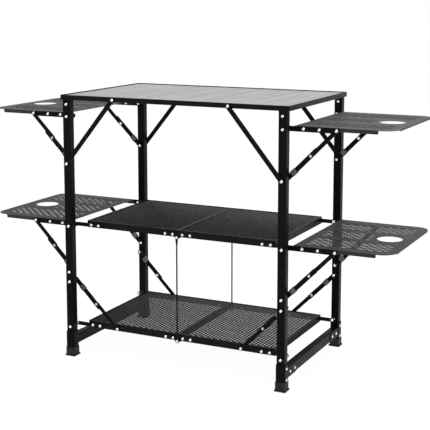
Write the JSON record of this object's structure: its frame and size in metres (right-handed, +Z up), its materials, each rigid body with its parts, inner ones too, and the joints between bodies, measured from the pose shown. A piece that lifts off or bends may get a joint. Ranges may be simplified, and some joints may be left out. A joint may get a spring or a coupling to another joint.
{
  "type": "camp kitchen table",
  "caption": "Folding camp kitchen table: slatted top on two end frames, hinged mesh shelves and drop-down side tables with cup holes.",
  "frame": {"origin": "on the floor, midway between the four legs", "axes": "+X to the right of someone standing in front, +Y to the back, +Z up"},
  "size_m": [1.33, 0.4872, 0.82],
  "materials": {
    "black_tube": "powder coat, semi-gloss",
    "black_fittings": "powder coat, semi-gloss",
    "ring_steel": "satin coat, worn",
    "slat_grey": "satin with fine grain",
    "black_rail": "powder coat, semi-gloss",
    "dark_panel": "powder coat, fine texture",
    "bright_rivet": "zinc plated",
    "black_mesh": "powder coat",
    "black_cap": "matte",
    "black_cord": "braided"
  },
  "bodies": {
    "left_end_frame": {"left_legs": "black_tube", "left_crossbar": "black_tube", "left_corner_brackets": "black_tube", "left_feet": "black_cap", "left_leg_rivets": "bright_rivet"},
    "left_top_braces": {"left_top_braces": "black_fittings"},
    "middle_left_shelf": {"middle_left_shelf_frame": "black_rail", "middle_left_shelf_mesh": "black_mesh", "middle_left_shelf_rivets": "bright_rivet"},
    "lower_left_shelf": {"lower_left_shelf_frame": "black_rail", "lower_left_shelf_mesh": "black_mesh", "lower_left_shelf_rivets": "bright_rivet"},
    "upper_left_side_table": {"upper_left_side_panel": "dark_panel", "upper_left_side_arms": "black_fittings", "upper_left_side_rivets": "bright_rivet"},
    "upper_left_leg_links": {"upper_left_leg_links": "black_fittings"},
    "upper_left_table_links": {"upper_left_table_links": "black_fittings"},
    "upper_left_lock_rings": {"upper_left_lock_rings": "ring_steel"},
    "lower_left_side_table": {"lower_left_side_panel": "dark_panel", "lower_left_side_arms": "black_fittings", "lower_left_side_rivets": "bright_rivet"},
    "lower_left_leg_links": {"lower_left_leg_links": "black_fittings"},
    "lower_left_table_links": {"lower_left_table_links": "black_fittings"},
    "lower_left_lock_rings": {"lower_left_lock_rings": "ring_steel"},
    "left_shelf_leg_links": {"left_shelf_leg_links": "black_fittings"},
    "left_shelf_bars": {"left_shelf_bars": "black_fittings"},
    "left_shelf_lock_rings": {"left_shelf_lock_rings": "ring_steel"},
    "right_end_frame": {"right_legs": "black_tube", "right_crossbar": "black_tube", "right_corner_brackets": "black_tube", "right_feet": "black_cap", "right_leg_rivets": "bright_rivet"},
    "right_top_braces": {"right_top_braces": "black_fittings"},
    "middle_right_shelf": {"middle_right_shelf_frame": "black_rail", "middle_right_shelf_mesh": "black_mesh", "middle_right_shelf_rivets": "bright_rivet"},
    "lower_right_shelf": {"lower_right_shelf_frame": "black_rail", "lower_right_shelf_mesh": "black_mesh", "lower_right_shelf_rivets": "bright_rivet"},
    "upper_right_side_table": {"upper_right_side_panel": "dark_panel", "upper_right_side_arms": "black_fittings", "upper_right_side_rivets": "bright_rivet"},
    "upper_right_leg_links": {"upper_right_leg_links": "black_fittings"},
    "upper_right_table_links": {"upper_right_table_links": "black_fittings"},
    "upper_right_lock_rings": {"upper_right_lock_rings": "ring_steel"},
    "lower_right_side_table": {"lower_right_side_panel": "dark_panel", "lower_right_side_arms": "black_fittings", "lower_right_side_rivets": "bright_rivet"},
    "lower_right_leg_links": {"lower_right_leg_links": "black_fittings"},
    "lower_right_table_links": {"lower_right_table_links": "black_fittings"},
    "lower_right_lock_rings": {"lower_right_lock_rings": "ring_steel"},
    "right_shelf_leg_links": {"right_shelf_leg_links": "black_fittings"},
    "right_shelf_bars": {"right_shelf_bars": "black_fittings"},
    "right_shelf_lock_rings": {"right_shelf_lock_rings": "ring_steel"},
    "top": {"top_rails": "black_rail", "top_slats": "slat_grey", "top_studs": "bright_rivet"},
    "pull_cords": {"front_pull_cord": "black_cord", "back_pull_cord": "black_cord", "cord_fittings": "black_cap"}
  },
  "joints": [
    {"name": "fold", "type": "hinge", "parent": "left_end_frame", "child": "middle_left_shelf", "pos_m": [-0.3555, 0, 0.413], "axis": [0, -1, 0], "range_deg": [0, 85]},
    {"name": "middle_hinge", "type": "hinge", "parent": "middle_left_shelf", "child": "middle_right_shelf", "pos_m": [0, 0, 0.405], "axis": [0, -1, 0], "range_deg": [-170.05, 0]},
    {"name": "right_frame_swing", "type": "hinge", "parent": "middle_right_shelf", "child": "right_end_frame", "pos_m": [0.3555, 0, 0.413], "axis": [0, -1, 0], "range_deg": [0, 85.05]},
    {"name": "lower_shelf_swing", "type": "hinge", "parent": "left_end_frame", "child": "lower_left_shelf", "pos_m": [-0.3555, 0, 0.0925], "axis": [0, -1, 0], "range_deg": [0, 85.05]},
    {"name": "lower_middle_hinge", "type": "hinge", "parent": "lower_left_shelf", "child": "lower_right_shelf", "pos_m": [0, 0, 0.0845], "axis": [0, -1, 0], "range_deg": [-170.05, 0]},
    {"name": "cord_swing", "type": "hinge", "parent": "middle_left_shelf", "child": "pull_cords", "pos_m": [0, 0, 0.405], "axis": [0, -1, 0], "range_deg": [-85.05, 0]},
    {"name": "left_brace_swing", "type": "hinge", "parent": "left_end_frame", "child": "left_top_braces", "pos_m": [-0.3555, 0, 0.6085], "axis": [0, -1, 0], "range_deg": [-150.05, 0]},
    {"name": "right_brace_swing", "type": "hinge", "parent": "right_end_frame", "child": "right_top_braces", "pos_m": [0.3555, 0, 0.6085], "axis": [0, -1, 0], "range_deg": [0, 150.05]},
    {"name": "top_lift", "type": "slide", "parent": "left_end_frame", "child": "top", "axis": [0, 0, 1], "range_m": [0, 0.1605]},
    {"name": "left_shelf_leg_link_swing", "type": "hinge", "parent": "left_end_frame", "child": "left_shelf_leg_links", "pos_m": [-0.3555, 0, 0.237], "axis": [0, -1, 0], "range_deg": [-44.01, 0]},
    {"name": "left_shelf_bar_swing", "type": "hinge", "parent": "lower_left_shelf", "child": "left_shelf_bars", "pos_m": [-0.211, 0, 0.0925], "axis": [0, -1, 0], "range_deg": [0, 44.01]},
    {"name": "left_shelf_ring_slide", "type": "slide", "parent": "left_shelf_leg_links", "child": "left_shelf_lock_rings", "axis": [0.7071, 0, -0.7071], "range_m": [0, 0.048]},
    {"name": "right_shelf_leg_link_swing", "type": "hinge", "parent": "right_end_frame", "child": "right_shelf_leg_links", "pos_m": [0.3555, 0, 0.237], "axis": [0, -1, 0], "range_deg": [0, 44.01]},
    {"name": "right_shelf_bar_swing", "type": "hinge", "parent": "lower_right_shelf", "child": "right_shelf_bars", "pos_m": [0.211, 0, 0.0925], "axis": [0, -1, 0], "range_deg": [-44.01, 0]},
    {"name": "right_shelf_ring_slide", "type": "slide", "parent": "right_shelf_leg_links", "child": "right_shelf_lock_rings", "axis": [-0.7071, 0, -0.7071], "range_m": [0, 0.048]},
    {"name": "upper_left_table_drop", "type": "hinge", "parent": "left_end_frame", "child": "upper_left_side_table", "pos_m": [-0.3555, 0, 0.7535], "axis": [0, -1, 0], "range_deg": [0, 85]},
    {"name": "upper_left_leg_link_swing", "type": "hinge", "parent": "left_end_frame", "child": "upper_left_leg_links", "pos_m": [-0.3555, 0, 0.6085], "axis": [0, -1, 0], "range_deg": [-44.01, 0]},
    {"name": "upper_left_table_link_swing", "type": "hinge", "parent": "upper_left_side_table", "child": "upper_left_table_links", "pos_m": [-0.5005, 0, 0.7535], "axis": [0, -1, 0], "range_deg": [0, 44.01]},
    {"name": "upper_left_ring_slide", "type": "slide", "parent": "upper_left_leg_links", "child": "upper_left_lock_rings", "axis": [-0.7071, 0, 0.7071], "range_m": [0, 0.054]},
    {"name": "lower_left_table_drop", "type": "hinge", "parent": "left_end_frame", "child": "lower_left_side_table", "pos_m": [-0.3555, 0, 0.413], "axis": [0, -1, 0], "range_deg": [0, 85]},
    {"name": "lower_left_leg_link_swing", "type": "hinge", "parent": "left_end_frame", "child": "lower_left_leg_links", "pos_m": [-0.3555, 0, 0.268], "axis": [0, -1, 0], "range_deg": [-44.01, 0]},
    {"name": "lower_left_table_link_swing", "type": "hinge", "parent": "lower_left_side_table", "child": "lower_left_table_links", "pos_m": [-0.5005, 0, 0.413], "axis": [0, -1, 0], "range_deg": [0, 44.01]},
    {"name": "lower_left_ring_slide", "type": "slide", "parent": "lower_left_leg_links", "child": "lower_left_lock_rings", "axis": [-0.7071, 0, 0.7071], "range_m": [0, 0.054]},
    {"name": "upper_right_table_drop", "type": "hinge", "parent": "right_end_frame", "child": "upper_right_side_table", "pos_m": [0.3555, 0, 0.7535], "axis": [0, 1, 0], "range_deg": [0, 85]},
    {"name": "upper_right_leg_link_swing", "type": "hinge", "parent": "right_end_frame", "child": "upper_right_leg_links", "pos_m": [0.3555, 0, 0.6085], "axis": [0, 1, 0], "range_deg": [-44.01, 0]},
    {"name": "upper_right_table_link_swing", "type": "hinge", "parent": "upper_right_side_table", "child": "upper_right_table_links", "pos_m": [0.5005, 0, 0.7535], "axis": [0, 1, 0], "range_deg": [0, 44.01]},
    {"name": "upper_right_ring_slide", "type": "slide", "parent": "upper_right_leg_links", "child": "upper_right_lock_rings", "axis": [0.7071, 0, 0.7071], "range_m": [0, 0.054]},
    {"name": "lower_right_table_drop", "type": "hinge", "parent": "right_end_frame", "child": "lower_right_side_table", "pos_m": [0.3555, 0, 0.413], "axis": [0, 1, 0], "range_deg": [0, 85]},
    {"name": "lower_right_leg_link_swing", "type": "hinge", "parent": "right_end_frame", "child": "lower_right_leg_links", "pos_m": [0.3555, 0, 0.268], "axis": [0, 1, 0], "range_deg": [-44.01, 0]},
    {"name": "lower_right_table_link_swing", "type": "hinge", "parent": "lower_right_side_table", "child": "lower_right_table_links", "pos_m": [0.5005, 0, 0.413], "axis": [0, 1, 0], "range_deg": [0, 44.01]},
    {"name": "lower_right_ring_slide", "type": "slide", "parent": "lower_right_leg_links", "child": "lower_right_lock_rings", "axis": [0.7071, 0, 0.7071], "range_m": [0, 0.054]}
  ],
  "couplings": [
    {"joint": "middle_hinge", "follows": "fold", "ratio": -2},
    {"joint": "right_frame_swing", "follows": "fold", "ratio": 1},
    {"joint": "lower_shelf_swing", "follows": "fold", "ratio": 1},
    {"joint": "lower_middle_hinge", "follows": "fold", "ratio": -2},
    {"joint": "cord_swing", "follows": "fold", "ratio": -1},
    {"joint": "left_brace_swing", "follows": "fold", "ratio": -1.7647},
    {"joint": "right_brace_swing", "follows": "fold", "ratio": 1.7647},
    {"joint": "top_lift", "follows": "fold", "m_per_rad": 0.1079},
    {"joint": "left_shelf_leg_link_swing", "follows": "fold", "ratio": -0.51722},
    {"joint": "left_shelf_bar_swing", "follows": "fold", "ratio": 0.51722},
    {"joint": "right_shelf_leg_link_swing", "follows": "fold", "ratio": 0.51722},
    {"joint": "right_shelf_bar_swing", "follows": "fold", "ratio": -0.51722},
    {"joint": "upper_left_leg_link_swing", "follows": "upper_left_table_drop", "ratio": -0.51722},
    {"joint": "upper_left_table_link_swing", "follows": "upper_left_table_drop", "ratio": 0.51722},
    {"joint": "lower_left_leg_link_swing", "follows": "lower_left_table_drop", "ratio": -0.51722},
    {"joint": "lower_left_table_link_swing", "follows": "lower_left_table_drop", "ratio": 0.51722},
    {"joint": "upper_right_leg_link_swing", "follows": "upper_right_table_drop", "ratio": -0.51722},
    {"joint": "upper_right_table_link_swing", "follows": "upper_right_table_drop", "ratio": 0.51722},
    {"joint": "lower_right_leg_link_swing", "follows": "lower_right_table_drop", "ratio": -0.51722},
    {"joint": "lower_right_table_link_swing", "follows": "lower_right_table_drop", "ratio": 0.51722}
  ]
}
